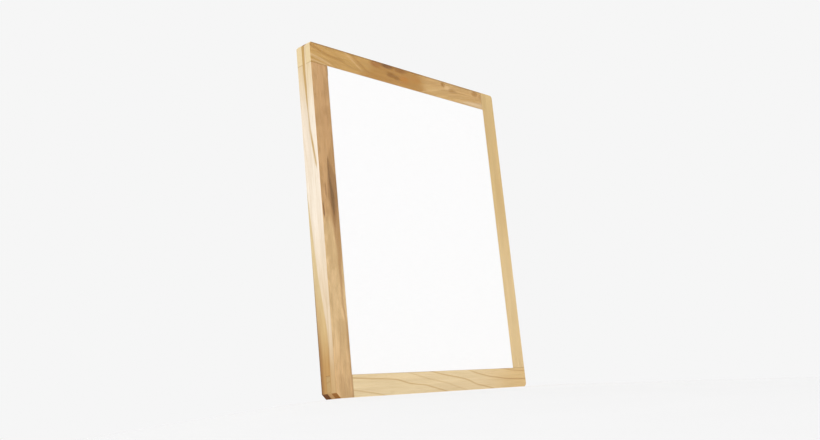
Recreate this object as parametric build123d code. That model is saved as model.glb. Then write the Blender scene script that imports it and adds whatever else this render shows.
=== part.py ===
from build123d import *
import os

# Wooden screen printing frame with its mesh, standing upright on its bottom rail.
# X runs across the frame, Z up it, Y through its thickness. The print side, which carries the
# glued mesh, faces -Y and the squeegee side faces +Y. The origin is the middle of the foot,
# halfway through the whole thickness. All sizes are in millimetres.

# Overall frame
FRAME_WIDTH = 508.0  # 20 in outside
FRAME_HEIGHT = 610.0  # 24 in outside
MEMBER = 38.0  # face width of all four members, 1 1/2 in
EDGE_EASE = 1.0  # sanded radius on every long edge

# Outside corners knocked off at 45 degrees after the frame is glued up, each by hand. The sides
# are those of the print side as it is seen, left and right, and the order runs round the frame.
CORNERS = {"top_left": (-1, 1), "bottom_left": (-1, -1), "bottom_right": (1, -1), "top_right": (1, 1)}
CORNER_CUTS = {"top_left": 4.0, "bottom_left": 10.0, "bottom_right": 6.0, "top_right": 4.0}

# Finger joints: the members interlock across the thickness, so each corner shows three fingers,
# a fork of one member round the tongue of the other
FINGER_THICKNESSES = (11.5, 9.5, 14.0)  # from the print side to the squeegee side
DEPTH = sum(FINGER_THICKNESSES)  # 1 3/8 in stock
FORK = (0, 2)
TONGUE = (1,)

# Mesh and the adhesive that holds it on the print side
GLUE_FILM = 0.2
MESH_THICKNESS = 0.3
MESH_TRIM = 2.0  # the mesh stops this far inside the outside edges
GLUE_SETBACK = 1.0  # clear of the mesh edge outside and of the opening inside

# Brads that pin the fingers of each corner together, driven from the squeegee side
BRAD_SHANK = 1.6
BRAD_LENGTH = 30.0
BRAD_POINT = 3.0
BRAD_HEAD = 3.0
BRAD_HEAD_THICKNESS = 0.8
BRAD_SET = 0.5  # head driven this far below the wood
BRAD_SPREAD = 8.0  # each brad's offset from the middle of the corner, along X and Z

# Faces through the thickness
THICKNESS = DEPTH + GLUE_FILM + MESH_THICKNESS
MESH_FRONT = -THICKNESS / 2
MESH_BACK = MESH_FRONT + MESH_THICKNESS
WOOD_FRONT = MESH_BACK + GLUE_FILM
FINGER_EDGES = [WOOD_FRONT + sum(FINGER_THICKNESSES[:i]) for i in range(len(FINGER_THICKNESSES) + 1)]
WOOD_BACK = FINGER_EDGES[-1]

RIGHT = FRAME_WIDTH / 2
LEFT = -RIGHT
TOP = FRAME_HEIGHT
OPENING_LEFT = LEFT + MEMBER
OPENING_RIGHT = RIGHT - MEMBER
OPENING_BOTTOM = MEMBER
OPENING_TOP = TOP - MEMBER


def block(x_low, x_high, y_low, y_high, z_low, z_high):
    """Box between two corners."""
    size = (x_high - x_low, y_high - y_low, z_high - z_low)
    return Pos((x_low + x_high) / 2, (y_low + y_high) / 2, (z_low + z_high) / 2) * Box(*size)


def fingers(which, x_low, x_high, z_low, z_high):
    """The chosen fingers of one corner, counted from the print side."""
    return [block(x_low, x_high, FINGER_EDGES[i], FINGER_EDGES[i + 1], z_low, z_high) for i in which]


def panel(inset, y_back):
    """Face of the frame's outline with its corners cut, this far inside the outside edges."""
    half_width, half_height = FRAME_WIDTH / 2 - inset, FRAME_HEIGHT / 2 - inset
    points = []
    for corner, (side, up) in CORNERS.items():
        cut = CORNER_CUTS[corner] - inset * (2 - 2**0.5)
        on_upright = (side * half_width, up * (half_height - cut))
        on_level = (side * (half_width - cut), up * half_height)
        points += (on_level, on_upright) if side * up < 0 else (on_upright, on_level)
    upright = Plane((0, y_back, TOP / 2), x_dir=(1, 0, 0), z_dir=(0, -1, 0))
    return upright * Polygon(*points, align=None)


def glued_up_frame():
    """The four members as one blank: outside corners cut and long edges eased."""
    blank = extrude(panel(0, WOOD_BACK), DEPTH)
    blank -= block(OPENING_LEFT, OPENING_RIGHT, WOOD_FRONT, WOOD_BACK, OPENING_BOTTOM, OPENING_TOP)
    long_edges = blank.edges().group_by(Axis.Y)
    return fillet(long_edges[0] + long_edges[-1], EDGE_EASE)


def brad(x, z):
    """Headed brad along Y, its head just under the squeegee face."""
    head_top = WOOD_BACK - BRAD_SET
    shank_top = head_top - BRAD_HEAD_THICKNESS
    shank_length = BRAD_LENGTH - BRAD_HEAD_THICKNESS - BRAD_POINT
    driven = Plane((x, head_top, z), x_dir=(1, 0, 0), z_dir=(0, -1, 0))
    along = Align.CENTER, Align.CENTER, Align.MIN
    nail = Cylinder(BRAD_HEAD / 2, BRAD_HEAD_THICKNESS, align=along)
    nail += Pos(0, 0, head_top - shank_top) * Cylinder(BRAD_SHANK / 2, shank_length, align=along)
    nail += Pos(0, 0, BRAD_LENGTH - BRAD_POINT) * Cone(BRAD_SHANK / 2, 0.1, BRAD_POINT, align=along)
    return driven * nail


def set_hole(x, z):
    """The small recess the nail set leaves over a brad's head."""
    mouth = Plane((x, WOOD_BACK, z), x_dir=(1, 0, 0), z_dir=(0, -1, 0))
    return mouth * Cylinder(BRAD_HEAD / 2, BRAD_SET, align=(Align.CENTER, Align.CENTER, Align.MIN))


def brad_pair(side, up):
    """Where this corner's two brads are: on the diagonal that crosses both members' grain."""
    x = side * (RIGHT - MEMBER / 2)
    z = TOP / 2 + up * (TOP / 2 - MEMBER / 2)
    return [(x + way * BRAD_SPREAD, z - way * side * up * BRAD_SPREAD) for way in (-1, 1)]


brad_spots = {corner: brad_pair(*sides) for corner, sides in CORNERS.items()}
brads = {corner: [brad(x, z) for x, z in spots] for corner, spots in brad_spots.items()}
brad_holes = [nail for pair in brads.values() for nail in pair]
brad_holes += [set_hole(x, z) for spots in brad_spots.values() for x, z in spots]

# Members: each has a fork at one end and a tongue at the other, so the corners run round
# the frame like a pinwheel
y_span = (WOOD_FRONT, WOOD_BACK)
member_stock = {
    "top_rail": [
        block(OPENING_LEFT, OPENING_RIGHT, *y_span, OPENING_TOP, TOP),
        *fingers(FORK, LEFT, OPENING_LEFT, OPENING_TOP, TOP),
        *fingers(TONGUE, OPENING_RIGHT, RIGHT, OPENING_TOP, TOP),
    ],
    "right_stile": [
        block(OPENING_RIGHT, RIGHT, *y_span, OPENING_BOTTOM, OPENING_TOP),
        *fingers(FORK, OPENING_RIGHT, RIGHT, OPENING_TOP, TOP),
        *fingers(TONGUE, OPENING_RIGHT, RIGHT, 0, OPENING_BOTTOM),
    ],
    "bottom_rail": [
        block(OPENING_LEFT, OPENING_RIGHT, *y_span, 0, OPENING_BOTTOM),
        *fingers(FORK, OPENING_RIGHT, RIGHT, 0, OPENING_BOTTOM),
        *fingers(TONGUE, LEFT, OPENING_LEFT, 0, OPENING_BOTTOM),
    ],
    "left_stile": [
        block(LEFT, OPENING_LEFT, *y_span, OPENING_BOTTOM, OPENING_TOP),
        *fingers(FORK, LEFT, OPENING_LEFT, 0, OPENING_BOTTOM),
        *fingers(TONGUE, LEFT, OPENING_LEFT, OPENING_TOP, TOP),
    ],
}

parts = {}
frame_blank = glued_up_frame()
for name, pieces in member_stock.items():
    stock = pieces[0].fuse(*pieces[1:])
    parts[name] = (frame_blank & stock).solid().cut(*brad_holes).solid()

# Mesh: one stretched sheet, trimmed just inside the outside edges
parts["mesh_fabric"] = extrude(panel(MESH_TRIM, MESH_BACK), MESH_THICKNESS).solid()

# Adhesive film between mesh and wood: the rails' strips run the full width and the stiles'
# strips fit between them
edge = MESH_TRIM + GLUE_SETBACK
film = (MESH_BACK, WOOD_FRONT)
side_strip_span = (OPENING_BOTTOM - GLUE_SETBACK, OPENING_TOP + GLUE_SETBACK)
strips = {
    "adhesive_top": block(LEFT + edge, RIGHT - edge, *film, side_strip_span[1], TOP - edge),
    "adhesive_bottom": block(LEFT + edge, RIGHT - edge, *film, edge, side_strip_span[0]),
    "adhesive_left": block(LEFT + edge, OPENING_LEFT - GLUE_SETBACK, *film, *side_strip_span),
    "adhesive_right": block(OPENING_RIGHT + GLUE_SETBACK, RIGHT - edge, *film, *side_strip_span),
}
glue_area = extrude(panel(edge, WOOD_FRONT), GLUE_FILM)
for name, strip in strips.items():
    parts[name] = (strip & glue_area).solid()

for corner, pair in brads.items():
    parts["brads_" + corner] = Compound(children=pair)

os.makedirs("parts", exist_ok=True)
for name, part in parts.items():
    part.label = name
    export_step(part, f"parts/{name}.step")
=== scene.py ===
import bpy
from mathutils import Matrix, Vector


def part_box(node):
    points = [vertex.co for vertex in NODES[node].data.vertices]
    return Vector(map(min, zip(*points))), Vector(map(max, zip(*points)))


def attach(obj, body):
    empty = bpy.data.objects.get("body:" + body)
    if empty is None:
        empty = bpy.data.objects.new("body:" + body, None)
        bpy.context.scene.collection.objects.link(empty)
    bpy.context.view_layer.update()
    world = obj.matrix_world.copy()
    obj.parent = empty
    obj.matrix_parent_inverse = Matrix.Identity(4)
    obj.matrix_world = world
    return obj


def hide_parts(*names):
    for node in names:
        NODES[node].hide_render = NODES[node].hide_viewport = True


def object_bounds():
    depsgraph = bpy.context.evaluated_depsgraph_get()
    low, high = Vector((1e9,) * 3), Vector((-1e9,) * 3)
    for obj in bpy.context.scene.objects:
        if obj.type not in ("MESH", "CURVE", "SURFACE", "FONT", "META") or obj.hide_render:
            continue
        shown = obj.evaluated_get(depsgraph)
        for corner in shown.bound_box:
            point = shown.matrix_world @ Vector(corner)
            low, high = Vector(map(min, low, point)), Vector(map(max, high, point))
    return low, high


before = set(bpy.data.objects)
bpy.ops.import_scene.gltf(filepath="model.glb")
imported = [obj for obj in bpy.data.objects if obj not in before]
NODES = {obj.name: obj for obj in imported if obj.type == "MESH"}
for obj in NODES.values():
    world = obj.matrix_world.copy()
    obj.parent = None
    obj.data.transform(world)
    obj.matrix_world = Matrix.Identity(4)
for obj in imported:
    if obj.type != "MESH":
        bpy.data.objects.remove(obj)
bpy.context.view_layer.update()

import math
import bmesh
import bpy
from mathutils import Quaternion, Vector

# Everything is in the row frame, in metres: X across the printing frame, Z up it and Y through its
# thickness, with the print side at -Y. The four members keep their CAD meshes and get procedural
# wood; the mesh and the adhesive are replaced by finer pieces of the same size.

# ---------------------------------------------------------------- sizes read from the frame
LOW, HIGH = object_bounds()
STILE_LOW, STILE_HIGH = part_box("left_stile")
WIDTH = STILE_HIGH.x - STILE_LOW.x  # width of every member
WOOD_FRONT, WOOD_BACK = STILE_LOW.y, STILE_HIGH.y
HALF, TOP = HIGH.x, HIGH.z
OPEN_X = HALF - WIDTH  # half the opening's width
OPEN_LOW, OPEN_HIGH = WIDTH, TOP - WIDTH
# The left stile's tongue at the top corner, front and back
TONGUE = [v.co.y for v in NODES["left_stile"].data.vertices if v.co.z > TOP - WIDTH / 2]
TONGUE_FRONT, TONGUE_BACK = min(TONGUE), max(TONGUE)
TINY = 1e-5  # two places closer than this are the same

# ---------------------------------------------------------------- camera and studio settings
CAMERA_PLACE = (-1.263, LOW.y - 1.107, -0.046)
CAMERA_BEARING, CAMERA_RISE, CAMERA_ROLL = 47.82, 12.25, -5.59  # degrees; the bearing is from +Y
CAMERA_LENS, CAMERA_SENSOR = 40.65, 36.0  # mm

FLOOR_FALL = 0.075  # the floor is a very low dome, so that it stays below a camera near its level
FLOOR_FLAT = 0.010  # level margin round the frame's foot
FLOOR_BLEND = 0.06  # over which the level part bends into the fall
FLOOR_ARC_STEPS = 16  # round each corner of a ring
FLOOR_RINGS = 44
FLOOR_FIRST_RING, FLOOR_RING_GROWTH = 0.004, 1.2

BACKDROP = (0.921, 0.921, 0.921, 1.0)
KEY_ENERGY = 2.3
KEY_SPREAD = 40  # degrees, for soft shadows
KEY_DIRECTION = (0.80, 0.33, -0.50)

# How brightly the studio light falls on a white card that faces each way
FRONT_LIGHT = 1.16
SIDE_LIGHT = 1.5
CUT_LIGHT = 1.1  # on the cut corners at the foot
BRIGHTEST = 0.95  # no surface reflects more than this


# ---------------------------------------------------------------- node helpers
def linear(value):
    """An sRGB level from 0 to 255 as linear light."""
    value /= 255
    return value / 12.92 if value <= 0.04045 else ((value + 0.055) / 1.055) ** 2.4


def paint(red, green, blue, light=FRONT_LIGHT):
    """The surface colour that looks like this sRGB colour under that much light."""
    return tuple(min(linear(v) / light, BRIGHTEST) for v in (red, green, blue)) + (1.0,)


class Nodes:
    """A material's node tree, built up as expressions on sockets."""

    def __init__(self, name):
        self.material = bpy.data.materials.new(name)
        self.material.use_nodes = True
        self.tree = self.material.node_tree
        self.tree.nodes.clear()

    def add(self, kind, inputs, output=0, **settings):
        node = self.tree.nodes.new(kind)
        for key, value in settings.items():
            setattr(node, key, value)
        for key, value in inputs.items():
            if isinstance(value, bpy.types.NodeSocket):
                self.tree.links.new(value, node.inputs[key])
            else:
                node.inputs[key].default_value = value
        return node.outputs[output]

    def math(self, operation, *values):
        return self.add("ShaderNodeMath", dict(enumerate(values)), operation=operation)

    def plus(self, a, b):
        return self.math("ADD", a, b)

    def minus(self, a, b):
        return self.math("SUBTRACT", a, b)

    def times(self, a, b):
        return self.math("MULTIPLY", a, b)

    def size(self, a):
        return self.math("ABSOLUTE", a)

    def step(self, value, low, high):
        """0 at low, 1 at high, eased between; low may be above high."""
        inputs = {"Value": value, "From Min": low, "From Max": high}
        return self.add("ShaderNodeMapRange", inputs, interpolation_type="SMOOTHSTEP")

    def scaled(self, value, low, high):
        """0..1 stretched to low..high."""
        return self.plus(self.times(value, high - low), low)

    def vector(self, x, y, z):
        return self.add("ShaderNodeCombineXYZ", {0: x, 1: y, 2: z})

    def noise(self, vector, scale=1.0, detail=2.0):
        inputs = {"Vector": vector, "Scale": scale, "Detail": detail}
        return self.add("ShaderNodeTexNoise", inputs)

    def mix(self, factor, a, b, blend="MIX"):
        inputs = {0: factor, 6: a, 7: b}
        return self.add("ShaderNodeMix", inputs, output=2, data_type="RGBA", blend_type=blend)

    def tinted(self, factor, colour, tint):
        """The colour multiplied by a tint, as far as the factor says."""
        return self.mix(factor, colour, (*tint, 1), "MULTIPLY")

    def bump(self, strength, distance, height):
        inputs = {"Strength": strength, "Distance": distance, "Height": height}
        return self.add("ShaderNodeBump", inputs)

    def split(self, vector):
        """A vector as three sockets."""
        parts = self.tree.nodes.new("ShaderNodeSeparateXYZ")
        self.tree.links.new(vector, parts.inputs[0])
        return tuple(parts.outputs)

    def coordinates(self):
        """Position in the row frame in metres, as three sockets."""
        return self.split(self.tree.nodes.new("ShaderNodeTexCoord").outputs["Object"])

    def facing(self):
        """The surface's own direction, as three sockets."""
        return self.split(self.tree.nodes.new("ShaderNodeNewGeometry").outputs["Normal"])

    def finish(self, **inputs):
        """Principled surface from named inputs; returns the material."""
        named = {key.replace("_", " "): value for key, value in inputs.items()}
        surface = self.add("ShaderNodeBsdfPrincipled", named)
        output = self.tree.nodes.new("ShaderNodeOutputMaterial")
        self.tree.links.new(surface, output.inputs["Surface"])
        return self.material


# ---------------------------------------------------------------- camera and studio
def aim_camera():
    camera = bpy.data.objects.new("camera", bpy.data.cameras.new("camera"))
    bpy.context.collection.objects.link(camera)
    camera.data.sensor_width = CAMERA_SENSOR
    camera.data.lens = CAMERA_LENS
    camera.data.clip_start, camera.data.clip_end = 0.01, 100.0
    camera.location = CAMERA_PLACE
    bearing, rise, roll = map(math.radians, (CAMERA_BEARING, CAMERA_RISE, CAMERA_ROLL))
    level = Vector((math.sin(bearing), math.cos(bearing), 0.0)) * math.cos(rise)
    forward = level + Vector((0.0, 0.0, math.sin(rise)))
    camera.rotation_mode = "QUATERNION"
    camera.rotation_quaternion = forward.to_track_quat("-Z", "Y") @ Quaternion((0, 0, 1), roll)
    bpy.context.scene.camera = camera


def floor_height(distance):
    """Drop below the foot at this distance from the level patch."""
    if distance < FLOOR_BLEND:
        return -FLOOR_FALL * distance**2 / (2 * FLOOR_BLEND)
    return -FLOOR_FALL * (distance - FLOOR_BLEND / 2)


def lay_floor():
    points, faces = [], []
    half_x, half_y = HALF + FLOOR_FLAT, HIGH.y + FLOOR_FLAT
    count = 4 * (FLOOR_ARC_STEPS + 1)
    for ring in range(FLOOR_RINGS):
        away = 0.0 if ring == 0 else FLOOR_FIRST_RING * FLOOR_RING_GROWTH ** (ring - 1)
        for corner, (sx, sy) in enumerate(((1, 1), (-1, 1), (-1, -1), (1, -1))):
            for i in range(FLOOR_ARC_STEPS + 1):
                turn = math.radians(90 * corner + 90 * i / FLOOR_ARC_STEPS)
                x = sx * half_x + away * math.cos(turn)
                y = sy * half_y + away * math.sin(turn)
                points.append((x, y, floor_height(away)))
    faces.append(list(range(count)))
    for ring in range(FLOOR_RINGS - 1):
        inner, outer = ring * count, (ring + 1) * count
        for i in range(count):
            j = (i + 1) % count
            faces.append((inner + i, outer + i, outer + j, inner + j))
    mesh = bpy.data.meshes.new("floor")
    mesh.from_pydata(points, [], faces)
    mesh.polygons.foreach_set("use_smooth", [True] * len(mesh.polygons))
    floor = bpy.data.objects.new("floor", mesh)
    bpy.context.collection.objects.link(floor)
    n = Nodes("floor_paper")
    x, y, _ = n.coordinates()
    mottle = n.noise(n.vector(x, y, 0.0), scale=9.0, detail=3.0)
    colour = n.mix(mottle, (0.690, 0.690, 0.691, 1), (0.702, 0.702, 0.703, 1))
    mesh.materials.append(n.finish(Base_Color=colour, Roughness=0.9, Specular_IOR_Level=0.1))


def light_studio():
    world = bpy.data.worlds.new("studio")
    world.use_nodes = True
    background = world.node_tree.nodes["Background"]
    background.inputs["Color"].default_value = BACKDROP
    background.inputs["Strength"].default_value = 1.0
    bpy.context.scene.world = world
    key = bpy.data.objects.new("key", bpy.data.lights.new("key", "SUN"))
    bpy.context.collection.objects.link(key)
    key.data.energy = KEY_ENERGY
    key.data.angle = math.radians(KEY_SPREAD)
    key.rotation_mode = "QUATERNION"
    key.rotation_quaternion = Vector(KEY_DIRECTION).to_track_quat("-Z", "Y")
    bpy.context.scene.view_settings.view_transform = "Standard"


# ---------------------------------------------------------------- wood
class Wood(Nodes):
    """Solid wood of one member. along runs with the grain, across over the front face."""

    def __init__(self, node, along_axis):
        super().__init__(node + "_wood")
        self.node = node
        self.x, self.y, self.z = self.coordinates()
        self.along, self.across = (self.x, self.z) if along_axis == "x" else (self.z, self.x)
        self.nx, self.ny, self.nz = self.facing()
        # masks of the faces that look out at the front, at the left and at the member's ends
        self.front = self.step(self.ny, -0.35, -0.75)
        self.side = self.step(self.nx, -0.05, -0.45)
        self.end = self.step(self.size(self.nx if along_axis == "x" else self.nz), 0.12, 0.45)
        # slow wander of the grain, much longer along the member than across it
        self.drift = self.minus(self.grain(0.030, 0.20, seed=3.0), 0.5)
        self.ripple = self.minus(self.grain(0.008, 0.045, seed=7.0), 0.5)

    def grain(self, across, along, seed=0.0, detail=2.0):
        """Noise of this size across the grain and along it, in metres."""
        place = self.vector(
            self.times(self.across, 1 / across),
            self.plus(self.times(self.y, 1 / across), seed),
            self.times(self.along, 1 / along),
        )
        return self.noise(place, detail=detail)

    def track(self, along, points):
        """A value that runs straight through (along, value) points and stays level past the ends."""
        total = points[0][1]
        for (start, low), (end, high) in zip(points, points[1:]):
            share = {"Value": along, "From Min": start, "From Max": end, "To Max": high - low}
            total = self.plus(total, self.add("ShaderNodeMapRange", share))
        return total

    def band(self, across, points, soft=0.0015, wander=0.0):
        """Mask of a streak through (along, across, width) points; a negative width closes it."""
        centre = self.track(self.along, [(a, c) for a, c, _ in points])
        half = self.track(self.along, [(a, w / 2) for a, _, w in points])
        if wander:
            across = self.plus(across, self.times(self.ripple, wander))
        off = self.minus(self.size(self.minus(across, centre)), half)
        return self.step(off, soft, -soft)

    def streaks(self, colour, across, light, rows):
        """The colour crossed by streaks, each (sRGB tint, strength, soft, wander, band points)."""
        for tint, strength, soft, wander, points in rows:
            mask = self.times(self.band(across, points, soft, wander), strength)
            colour = self.mix(mask, colour, paint(*tint, light))
        return colour

    def stains(self, colour, across, strength, rows):
        """The colour with soft oval stains, each (middle, reach, sRGB tint), as (along, across)."""
        for middle, reach, tint in rows:
            along = self.times(self.minus(self.along, middle[0]), 1 / reach[0])
            over = self.times(self.minus(across, middle[1]), 1 / reach[1])
            place = {0: self.vector(along, over, 0.0)}
            away = self.add("ShaderNodeVectorMath", place, output=1, operation="LENGTH")
            away = self.plus(away, self.times(self.ripple, 0.9))
            mask = self.times(self.step(away, 1.35, 0.45), strength)
            colour = self.mix(mask, colour, paint(*tint))
        return colour

    def rings(self, height, spacing, start=0.80):
        """Growth-ring lines a spacing apart in height: slow darkening, then a sharp edge."""
        turn = self.math("FRACT", self.math("DIVIDE", height, spacing))
        return self.times(self.step(turn, start, 0.97), self.step(turn, 1.0, 0.975))

    def line(self, value, at, width):
        return self.step(self.size(self.minus(value, at)), width, width * 0.3)

    def joints(self):
        """Hairlines where the fingers of two members meet."""
        hairline, finger_line = 0.0007, 0.0006
        half_tongue = (TONGUE_BACK - TONGUE_FRONT) / 2
        depth = self.size(self.minus(self.y, (TONGUE_BACK + TONGUE_FRONT) / 2))
        outer = self.step(depth, half_tongue - 0.0003, half_tongue + 0.0003)
        between = self.times(self.line(depth, half_tongue, finger_line), 0.4)
        lines = 0.0
        for side in (-1, 1):
            for height, up in ((OPEN_LOW, -1), (OPEN_HIGH, 1)):
                x = self.times(self.x, side)
                past_x = self.step(x, OPEN_X - 0.0012, OPEN_X - 0.0006)
                past_z = self.step(self.times(self.z, up), up * height - 0.0012, up * height - 0.0006)
                upright = self.line(x, OPEN_X, hairline)
                level = self.line(self.z, height, hairline)
                first, second = (level, upright) if side * up < 0 else (upright, level)
                on_fork, on_tongue = self.times(outer, first), self.times(self.minus(1.0, outer), second)
                found = self.math("MAXIMUM", self.plus(on_fork, on_tongue), between)
                lines = self.plus(lines, self.times(self.times(past_x, past_z), found))
        return lines

    def figured(self, colour, figure, depth):
        """The colour a little lighter and darker by turns, following the figure."""
        light = (1 + depth, 1 + depth, 1 + depth * 1.3, 1)
        dark = (1 - depth, 1 - depth * 1.3, 1 - depth * 1.8, 1)
        tint = self.mix(self.step(figure, 0.36, 0.64), light, dark)
        return self.mix(1.0, colour, tint, "MULTIPLY")

    def dress(self, colour, end_colour, ring_lines, ring_tint=(0.86, 0.80, 0.70), figure_depth=0.035):
        """Finishes the member: fibre, tone and rings over the colour, end grain, joints and bump."""
        wide = self.step(self.grain(0.010, 0.17, seed=1.0), 0.36, 0.64)
        fine = self.grain(0.0011, 0.035, seed=5.0)
        hair = self.grain(0.0004, 0.012, seed=9.0)
        colour = self.tinted(wide, colour, (0.94, 0.92, 0.90))
        colour = self.tinted(self.grain(0.017, 0.26, seed=2.0), colour, (1.0, 0.95, 0.93))
        colour = self.figured(colour, self.grain(0.0040, 0.075, seed=4.0), figure_depth)
        colour = self.tinted(self.step(fine, 0.45, 0.75), colour, (0.93, 0.90, 0.85))
        colour = self.tinted(self.step(hair, 0.58, 0.72), colour, (0.86, 0.80, 0.72))
        colour = self.tinted(ring_lines, colour, ring_tint)
        speckle = self.noise(self.vector(self.x, self.y, self.z), scale=1500.0)
        end_colour = self.tinted(self.step(speckle, 0.40, 0.70), end_colour, (0.80, 0.76, 0.70))
        end_colour = self.tinted(ring_lines, end_colour, (0.88, 0.84, 0.78))
        colour = self.mix(self.end, colour, end_colour)
        gaps = self.joints()
        colour = self.tinted(gaps, colour, (0.66, 0.57, 0.47))
        relief = self.plus(self.times(fine, 0.6), self.times(hair, 0.4))
        relief = self.bump(0.35, 0.0003, self.minus(relief, self.times(gaps, 1.5)))
        roughness = self.plus(self.times(fine, 0.7), self.times(self.end, 0.4))
        roughness = self.scaled(roughness, 0.46, 0.66)
        dress_node(self.node, self.finish(Base_Color=colour, Roughness=roughness, Normal=relief,
                                          Specular_IOR_Level=0.22))


def dress_node(node, material):
    """Gives a CAD node its finished material."""
    for slot in NODES[node].material_slots:
        slot.material = material


def left_stile_front(n):
    """Front face of the left stile: pinkish tan and mottled above, paler below."""
    a = n.minus(n.x, STILE_LOW.x)  # across, from the outer edge
    z = n.plus(n.z, n.times(n.drift, 0.03))
    face = n.mix(n.step(z, 0.315, 0.270), paint(200, 160, 109), paint(221, 190, 140))
    face = n.mix(n.step(z, 0.13, 0.03), face, paint(217, 181, 130))
    face = n.figured(face, n.grain(0.012, 0.030, seed=11.0, detail=3.0), 0.110)
    return n.streaks(face, a, FRONT_LIGHT, [
        # tan halo that turns into a band along the inner edge further down, and its darker middle
        ((184, 143, 92), 0.85, 0.0025, 0.005,
         [(0.46, 0.0350, -0.006), (0.43, 0.0345, 0.007), (0.40, 0.0295, 0.017),
          (0.36, 0.0285, 0.021), (0.30, 0.0290, 0.020), (0.265, 0.0310, 0.015),
          (0.235, 0.0320, 0.010), (0.215, 0.0290, 0.006), (0.15, 0.0300, 0.004),
          (0.12, 0.0350, 0.003), (0.0, 0.0370, 0.003)]),
        ((160, 119, 72), 0.85, 0.0025, 0.005,
         [(0.415, 0.0220, -0.006), (0.395, 0.0225, 0.005), (0.365, 0.0280, 0.022),
          (0.334, 0.0285, 0.026), (0.315, 0.0275, 0.013), (0.285, 0.0270, 0.004),
          (0.255, 0.0275, -0.006)]),
        # dark mineral streak and its two neighbours
        ((116, 80, 40), 0.8, 0.0020, 0.003,
         [(0.410, 0.0213, -0.004), (0.398, 0.0214, 0.0015), (0.374, 0.0217, 0.0025),
          (0.358, 0.0233, 0.0050), (0.336, 0.0262, 0.0080), (0.322, 0.0262, 0.0065),
          (0.306, 0.0264, 0.003), (0.290, 0.0270, -0.005)]),
        ((150, 106, 62), 0.85, 0.0015, 0.002,
         [(0.366, 0.0112, -0.004), (0.354, 0.0114, 0.0025), (0.338, 0.0120, 0.0025),
          (0.320, 0.0135, -0.004)]),
        ((112, 66, 26), 0.95, 0.0012, 0.0,
         [(0.332, 0.0036, -0.004), (0.318, 0.0038, 0.0020), (0.304, 0.0044, 0.0030),
          (0.286, 0.0046, -0.004)]),
        # fainter figure in the lower half
        ((229, 200, 150), 0.6, 0.002, 0.004,
         [(0.21, 0.0140, -0.004), (0.17, 0.0135, 0.004), (0.09, 0.0105, 0.003),
          (0.05, 0.0095, -0.004)]),
    ] + [
        ((196, 159, 110), 0.4, 0.0015, 0.002,
         [(top, across, -0.004), (top - 0.02, across - 0.001, 0.0015),
          (top - 0.06, across - 0.006, 0.0025), (0.0, across - 0.009, 0.0015)])
        for top, across in ((0.125, 0.0210), (0.085, 0.0280))
    ])


def left_stile_side(n):
    """Outer face of the left stile: cream crossed by a golden streak, golden to brown below."""
    b = n.minus(WOOD_BACK, n.y)  # across, from the back edge
    z = n.plus(n.z, n.times(n.drift, 0.03))
    cream, gold_cream = paint(251, 240, 221, SIDE_LIGHT), paint(241, 222, 184, SIDE_LIGHT)
    side = n.mix(n.step(z, 0.575, 0.455), gold_cream, cream)
    side = n.mix(n.step(z, 0.31, 0.17), side, paint(241, 223, 193, SIDE_LIGHT))
    side = n.mix(n.step(z, 0.14, 0.02), side, paint(208, 175, 124, SIDE_LIGHT))
    gold = n.band(b, [(0.61, 0.0168, 0.0070), (0.557, 0.0162, 0.0048), (0.528, 0.0176, 0.0045),
                      (0.504, 0.0182, 0.0034), (0.480, 0.0192, 0.0024), (0.452, 0.0210, 0.0030),
                      (0.430, 0.0240, 0.0042), (0.391, 0.0290, 0.0030), (0.372, 0.0305, -0.004)],
                  soft=0.0014, wander=0.001)
    fade = n.track(n.z, [(0.372, 0.8), (0.43, 0.95), (0.455, 0.7), (0.485, 0.6), (0.505, 0.9),
                         (0.61, 0.95)])
    side = n.mix(n.times(gold, fade), side, paint(202, 165, 94, SIDE_LIGHT))
    side = n.streaks(side, b, SIDE_LIGHT, [
        ((168, 120, 62), 0.8, 0.001, 0.0,
         [(0.61, 0.0204, 0.0014), (0.56, 0.0192, 0.0008), (0.53, 0.0196, 0.0006),
          (0.51, 0.0200, -0.003)]),
    ])
    # golden heartwood, as far forward as this from the back edge
    limit = n.track(n.z, [(0.0, 0.0235), (0.05, 0.0250), (0.08, 0.0260), (0.12, 0.0238),
                          (0.162, 0.0182), (0.203, 0.0125), (0.243, 0.0092), (0.29, 0.0056),
                          (0.32, 0.0032), (0.35, 0.0005), (0.38, -0.004)])
    reach = n.step(n.minus(n.plus(b, n.times(n.ripple, 0.001)), limit), 0.0013, -0.0013)
    pale, golden = paint(224, 202, 151, SIDE_LIGHT), paint(218, 187, 128, SIDE_LIGHT)
    heart = n.mix(n.step(z, 0.19, 0.12), pale, golden)
    heart = n.mix(n.step(z, 0.12, 0.05), heart, paint(200, 158, 94, SIDE_LIGHT))
    back_edge = n.times(n.step(b, 0.012, 0.003), n.step(z, 0.17, 0.04))
    heart = n.mix(n.times(back_edge, 0.8), heart, paint(158, 112, 60, SIDE_LIGHT))
    outermost = n.times(n.step(b, 0.0040, 0.0008), n.step(z, 0.27, 0.10))
    heart = n.mix(n.times(outermost, 0.85), heart, paint(116, 76, 38, SIDE_LIGHT))
    return n.mix(n.times(reach, 0.9), side, heart)


def left_stile_wood():
    n = Wood("left_stile", "z")
    colour = n.mix(n.side, left_stile_front(n), left_stile_side(n))
    height = n.plus(n.plus(n.x, n.times(n.y, 0.5)), n.times(n.drift, 0.02))
    ring_lines = n.times(n.rings(height, 0.0095), n.scaled(n.front, 0.5, 0.3))
    # the cut finger ends at the foot, darker towards the back
    light_end, dark_end = paint(164, 110, 50, CUT_LIGHT), paint(116, 70, 28, CUT_LIGHT)
    cut_end = n.mix(n.step(n.y, TONGUE_FRONT, TONGUE_BACK), light_end, dark_end)
    n.dress(colour, cut_end, ring_lines)


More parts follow.
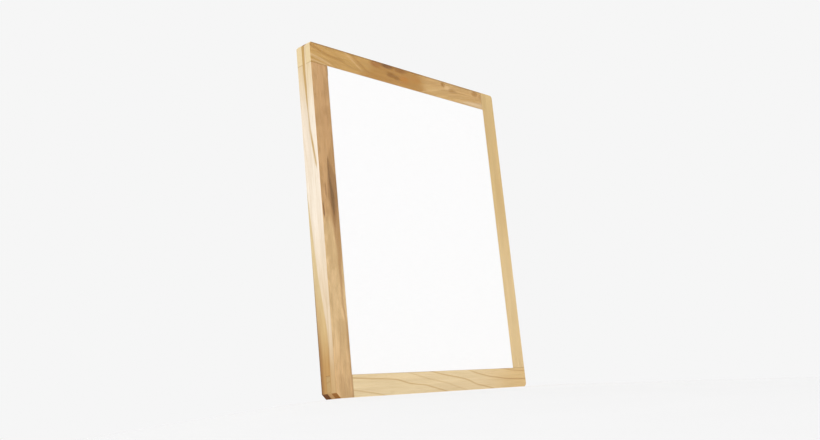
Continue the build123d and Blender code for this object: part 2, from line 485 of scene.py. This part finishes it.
def right_stile_wood():
    n = Wood("right_stile", "z")
    z = n.plus(n.z, n.times(n.drift, 0.1))
    colour = n.mix(n.step(z, 0.42, 0.16), paint(221, 192, 134), paint(232, 206, 154))
    height = n.plus(n.plus(n.x, n.times(n.y, 1.3)), n.times(n.drift, 0.012))
    n.dress(colour, paint(186, 146, 92), n.times(n.rings(height, 0.0062, start=0.55), 0.35))


def top_rail_wood():
    n = Wood("top_rail", "x")
    w = n.minus(TOP, n.z)  # down the front face from the top edge
    x = n.plus(n.x, n.times(n.drift, 0.05))
    colour = n.mix(n.step(x, 0.01, 0.05), paint(202, 161, 92), paint(210, 172, 111))
    # figure that falls steeply at the left and rises gently at the right
    slope = n.track(n.x, [(-0.254, 0.0), (-0.20, 0.016), (-0.10, 0.062), (0.02, 0.085),
                          (0.03, 0.085), (0.13, 0.060), (0.254, 0.056)])
    fall = n.minus(w, slope)
    place = n.vector(n.times(fall, 1 / 0.0050), n.times(n.y, 1 / 0.01), n.times(n.x, 1 / 0.09))
    colour = n.figured(colour, n.noise(place), 0.055)
    # dark and pale diagonals at the left
    colour = n.streaks(colour, w, FRONT_LIGHT, [
        ((176, 128, 60), 0.75, 0.0025, 0.002,
         [(-0.254, 0.0055, 0.003), (-0.2445, 0.0075, 0.005), (-0.2135, 0.0170, 0.005),
          (-0.197, 0.0186, 0.005), (-0.183, 0.0200, 0.005), (-0.15, 0.028, -0.005)]),
        ((220, 186, 134), 0.8, 0.0015, 0.002,
         [(-0.254, 0.0235, 0.005), (-0.232, 0.0280, 0.005), (-0.213, 0.0320, 0.004),
          (-0.185, 0.038, -0.005)]),
        ((236, 208, 162), 0.85, 0.001, 0.0,
         [(-0.254, 0.0335, 0.0015), (-0.235, 0.0350, 0.0015), (-0.215, 0.0372, 0.0010),
          (-0.20, 0.039, -0.005)]),
        ((218, 179, 120), 0.8, 0.0015, 0.002,
         [(-0.176, 0.000, 0.003), (-0.166, 0.0045, 0.005), (-0.150, 0.0155, 0.005),
          (-0.134, 0.0265, 0.003), (-0.12, 0.036, -0.004)]),
        ((174, 124, 58), 0.65, 0.0025, 0.002,
         [(-0.160, 0.000, 0.003), (-0.138, 0.0135, 0.006), (-0.120, 0.0250, 0.005),
          (-0.105, 0.034, -0.004)]),
    ])
    # stained middle
    right_edge = n.step(n.minus(n.x, n.times(w, 0.4)), 0.040, 0.012)
    stained = n.times(n.step(n.plus(x, w), -0.110, -0.080), right_edge)
    colour = n.mix(n.times(stained, 0.7), colour, paint(182, 132, 58))
    colour = n.stains(colour, w, 0.85, (
        ((-0.094, 0.0060), (0.014, 0.0070), (172, 114, 50)),
        ((-0.064, 0.0045), (0.016, 0.0050), (126, 80, 38)),
        ((-0.055, 0.0200), (0.012, 0.0050), (148, 98, 34)),
        ((-0.028, 0.0055), (0.017, 0.0055), (152, 102, 42)),
        ((-0.038, 0.0225), (0.010, 0.0050), (146, 98, 34)),
        ((-0.017, 0.0230), (0.014, 0.0085), (190, 128, 50)),
        ((0.014, 0.0160), (0.014, 0.0075), (190, 136, 62)),
    ))
    # right part: tan with a few marks, paler along its lower edge
    colour = n.stains(colour, w, 0.8, (
        ((0.095, 0.0075), (0.006, 0.0050), (174, 126, 62)),
        ((0.107, 0.0125), (0.008, 0.0045), (230, 196, 144)),
        ((0.124, 0.0165), (0.014, 0.0040), (182, 140, 80)),
        ((0.195, 0.0080), (0.010, 0.0070), (170, 122, 60)),
        ((0.214, 0.0110), (0.010, 0.0070), (188, 144, 84)),
    ))
    colour = n.streaks(colour, w, FRONT_LIGHT, [
        ((226, 190, 134), 0.65, 0.0015, 0.002,
         [(0.02, 0.0390, -0.004), (0.03, 0.0357, 0.003), (0.107, 0.0137, 0.003),
          (0.125, 0.009, -0.004)]),
        ((223, 195, 154), 0.9, 0.003, 0.0,
         [(0.13, 0.0350, -0.004), (0.17, 0.0320, 0.006), (0.254, 0.0300, 0.014)]),
    ])
    # painted shade: a darker line along the eased top edge
    painted_edge_shade = n.times(n.step(w, 0.0040, 0.0012), n.step(n.nz, 0.97, 0.80))
    colour = n.tinted(painted_edge_shade, colour, (0.66, 0.64, 0.62))
    ring_lines = n.rings(n.plus(n.z, n.times(n.drift, 0.03)), 0.011)
    n.dress(colour, paint(243, 220, 174, SIDE_LIGHT), n.times(ring_lines, 0.3))


def bottom_rail_wood():
    n = Wood("bottom_rail", "x")
    x = n.plus(n.x, n.times(n.drift, 0.05))
    colour = n.mix(n.step(x, 0.08, 0.24), paint(241, 219, 174), paint(228, 195, 137))
    # growth rings that sweep down across the face: strength and (along, height) points of each
    height = n.plus(n.z, n.times(n.minus(n.y, WOOD_FRONT), 0.35))
    height = n.plus(height, n.times(n.ripple, 0.0012))
    sweeps = (
        (0.7, [(-0.254, 0.0170), (-0.21, 0.0120), (-0.16, 0.0045), (-0.12, -0.004)]),
        (1.0, [(-0.254, 0.0340), (-0.13, 0.0280), (-0.11, 0.0260), (-0.08, 0.0185),
               (-0.04, 0.0145), (0.01, 0.0025), (0.03, -0.004)]),
        (0.5, [(-0.10, 0.0420), (-0.035, 0.0260), (0.015, 0.0170), (0.045, 0.0080),
               (0.09, -0.004)]),
        (1.0, [(-0.06, 0.0450), (0.0, 0.0330), (0.065, 0.0225), (0.08, 0.0180),
               (0.10, 0.0110), (0.14, 0.0035), (0.17, -0.004)]),
        (1.0, [(0.05, 0.0470), (0.105, 0.0310), (0.14, 0.0240), (0.19, 0.0185),
               (0.254, 0.0155)]),
        (0.9, [(0.12, 0.0500), (0.18, 0.0385), (0.215, 0.0340), (0.254, 0.0315)]),
    )
    ring_lines = 0.0
    for strength, sweep in sweeps:
        away = n.size(n.minus(height, n.track(n.x, sweep)))
        ring_line = n.times(n.step(away, 0.0016, 0.0005), strength)
        ring_lines = n.math("MAXIMUM", ring_lines, ring_line)
    side_end, cut_end = paint(202, 167, 112, SIDE_LIGHT), paint(205, 162, 108, CUT_LIGHT)
    end_colour = n.mix(n.step(n.nz, -0.2, -0.5), side_end, cut_end)
    n.dress(colour, end_colour, ring_lines, ring_tint=(0.79, 0.68, 0.55), figure_depth=0.018)


# ---------------------------------------------------------------- mesh, adhesive and brads
STRIPS = ("adhesive_top", "adhesive_bottom", "adhesive_left", "adhesive_right")
CORNERS = ((-1, -1), (1, -1), (1, 1), (-1, 1))  # sides of a flat piece's corners, in turn
MESH_THICKNESS = 0.0002  # of the woven mesh
THREAD_PITCH = 0.00045
CELLS_ACROSS, CELLS_UP = 24, 28  # squares of the mesh sheet over the opening
CELL_MARGIN = 0.0002  # by which its corner squares are larger than the largest corner cut
FILM_GAP = 0.00003  # clearance that keeps the adhesive's faces off the wood's
SOAKED_ALPHA, FILM_ALPHA = 0.012, 0.01  # mesh soaked with clear adhesive, and the film alone


def corner_place(node, side, up):
    """Where this corner of a flat upright node would be with no cut, as x and z."""
    low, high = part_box(node)
    return (high.x if side > 0 else low.x), (high.z if up > 0 else low.z)


def corner_cut(node, side, up):
    """How much of this corner of a flat upright node is cut off at 45 degrees, along either edge."""
    edge, level = corner_place(node, side, up)
    on_edge = [v.co.z for v in NODES[node].data.vertices if abs(v.co.x - edge) < TINY]
    return min(abs(level - z) for z in on_edge)


def corner_points(node, side, up):
    """The outline's points at this corner, in the order of a turn from +X to +Z."""
    edge, level = corner_place(node, side, up)
    cut = corner_cut(node, side, up)
    if cut < TINY:
        return [(edge, level)]
    ends = [(edge, level - up * cut), (edge - side * cut, level)]
    return ends if side * up > 0 else ends[::-1]


def evenly(low, high, count):
    """The ends and the places between them that make this many equal steps."""
    return [low + (high - low) * i / count for i in range(count + 1)]


def sheet_shape():
    """The mesh sheet's squares, with cut corners: material 0 over the opening, 1 over the wood."""
    low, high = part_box("mesh_fabric")
    corner = CELL_MARGIN + max(corner_cut("mesh_fabric", side, up) for side, up in CORNERS)
    left, right = low.x + corner, high.x - corner
    bottom, top = low.z + corner, high.z - corner
    columns = [low.x, left, *evenly(-OPEN_X, OPEN_X, CELLS_ACROSS), right, high.x]
    rows = [low.z, bottom, *evenly(OPEN_LOW, OPEN_HIGH, CELLS_UP), top, high.z]
    shape = bmesh.new()
    made = {}

    def point(x, z):
        key = (round(x, 7), round(z, 7))
        if key not in made:
            made[key] = shape.verts.new((x, (low.y + high.y) / 2, z))
        return made[key]

    for x0, x1 in zip(columns, columns[1:]):
        for z0, z1 in zip(rows, rows[1:]):
            side = -1 if x1 <= left else 1 if x0 >= right else 0
            up = -1 if z1 <= bottom else 1 if z0 >= top else 0
            outline = []
            for corner_side, corner_up in CORNERS:
                if (side, up) == (corner_side, corner_up):
                    outline += corner_points("mesh_fabric", side, up)
                else:
                    outline.append((x1 if corner_side > 0 else x0, z1 if corner_up > 0 else z0))
            face = shape.faces.new([point(x, z) for x, z in outline])
            open_here = abs(x0 + x1) / 2 < OPEN_X and OPEN_LOW < (z0 + z1) / 2 < OPEN_HIGH
            face.material_index = 0 if open_here else 1
    return shape


def finished_mesh(shape, name, *materials):
    """A mesh from a bmesh, which is freed, with these materials."""
    mesh = bpy.data.meshes.new(name)
    shape.to_mesh(mesh)
    shape.free()
    for material in materials:
        mesh.materials.append(material)
    return mesh


def placed(name, mesh, node):
    """A new piece that rides on the frame in place of a CAD node."""
    piece = bpy.data.objects.new(name, mesh)
    bpy.context.collection.objects.link(piece)
    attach(piece, "root")
    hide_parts(node)
    return piece


def stretched_mesh():
    """The printing mesh: white where it's open, clear where the adhesive has soaked through it."""
    mesh = finished_mesh(sheet_shape(), "mesh_sheet", weave_material(), soaked_material())
    sheet = placed("mesh_sheet", mesh, "mesh_fabric")
    thick = sheet.modifiers.new("thread", "SOLIDIFY")
    thick.thickness = MESH_THICKNESS
    thick.offset = 0.0
    films = glue_films()


def glue_films():
    """A thin film of adhesive on each member's front face, under the mesh."""
    film = adhesive_material()
    names = []
    for strip in STRIPS:
        low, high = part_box(strip)
        outline = [point for side, up in CORNERS for point in corner_points(strip, side, up)]
        shape = bmesh.new()
        front = shape.faces.new([shape.verts.new((x, low.y + FILM_GAP, z)) for x, z in outline])
        made = bmesh.ops.extrude_face_region(shape, geom=[front])["geom"]
        back = [v for v in made if isinstance(v, bmesh.types.BMVert)]
        bmesh.ops.translate(shape, verts=back, vec=(0, high.y - low.y - 2 * FILM_GAP, 0))
        bmesh.ops.recalc_face_normals(shape, faces=shape.faces)
        mesh = finished_mesh(shape, strip + "_film", film)
        names.append(placed(strip + "_film", mesh, strip).name)
    return names


def weave(n):
    """Height of a plain weave, 1 on top of a thread and 0 in the holes, and which thread is over."""
    x, _, z = n.coordinates()
    warp = n.math("SINE", n.times(x, math.pi / THREAD_PITCH))
    weft = n.math("SINE", n.times(z, math.pi / THREAD_PITCH))
    return n.math("MAXIMUM", n.size(warp), n.size(weft)), n.times(warp, weft)


def weave_material():
    n = Nodes("mesh_weave")
    height, over = weave(n)
    x, _, z = n.coordinates()
    slub = n.noise(n.vector(n.times(x, 40), 0.0, n.times(z, 900)), detail=1.0)
    hole, thread = (0.818, 0.816, 0.818, 1), (0.880, 0.877, 0.875, 1)
    colour = n.mix(n.step(height, 0.75, 1.0), hole, thread)
    colour = n.tinted(n.step(slub, 0.3, 0.7), colour, (0.985, 0.985, 0.985))
    relief = n.bump(0.25, 0.00008, n.plus(height, n.times(over, 0.5)))
    return n.finish(Base_Color=colour, Roughness=n.scaled(height, 0.62, 0.52), Normal=relief,
                    Specular_IOR_Level=0.3, Sheen_Weight=0.15, Sheen_Roughness=0.4)


def soaked_material():
    n = Nodes("mesh_soaked")
    height, _ = weave(n)
    colour = n.mix(height, (0.70, 0.54, 0.34, 1), (0.80, 0.66, 0.46, 1))
    return n.finish(Base_Color=colour, Roughness=n.scaled(height, 0.5, 0.4),
                    Normal=n.bump(0.2, 0.00005, height), Alpha=SOAKED_ALPHA)


def adhesive_material():
    n = Nodes("adhesive_film")
    x, _, z = n.coordinates()
    smear = n.noise(n.vector(n.times(x, 60), 0.0, n.times(z, 60)), detail=3.0)
    colour = n.mix(smear, (0.72, 0.56, 0.34, 1), (0.82, 0.68, 0.46, 1))
    return n.finish(Base_Color=colour, Roughness=n.scaled(smear, 0.25, 0.4),
                    Normal=n.bump(0.3, 0.0001, smear), Alpha=FILM_ALPHA)


def brad_steel():
    n = Nodes("brad_steel")
    wear = n.noise(n.vector(*(n.times(part, 900) for part in n.coordinates())), detail=3.0)
    colour = n.mix(wear, (0.30, 0.30, 0.31, 1), (0.52, 0.52, 0.53, 1))
    steel = n.finish(Base_Color=colour, Metallic=1.0, Roughness=n.scaled(wear, 0.3, 0.5),
                     Normal=n.bump(0.3, 0.00005, wear))
    for corner in ("top_left", "top_right", "bottom_left", "bottom_right"):
        dress_node("brads_" + corner, steel)


aim_camera()
lay_floor()
light_studio()
left_stile_wood()
right_stile_wood()
top_rail_wood()
bottom_rail_wood()
stretched_mesh()
brad_steel()
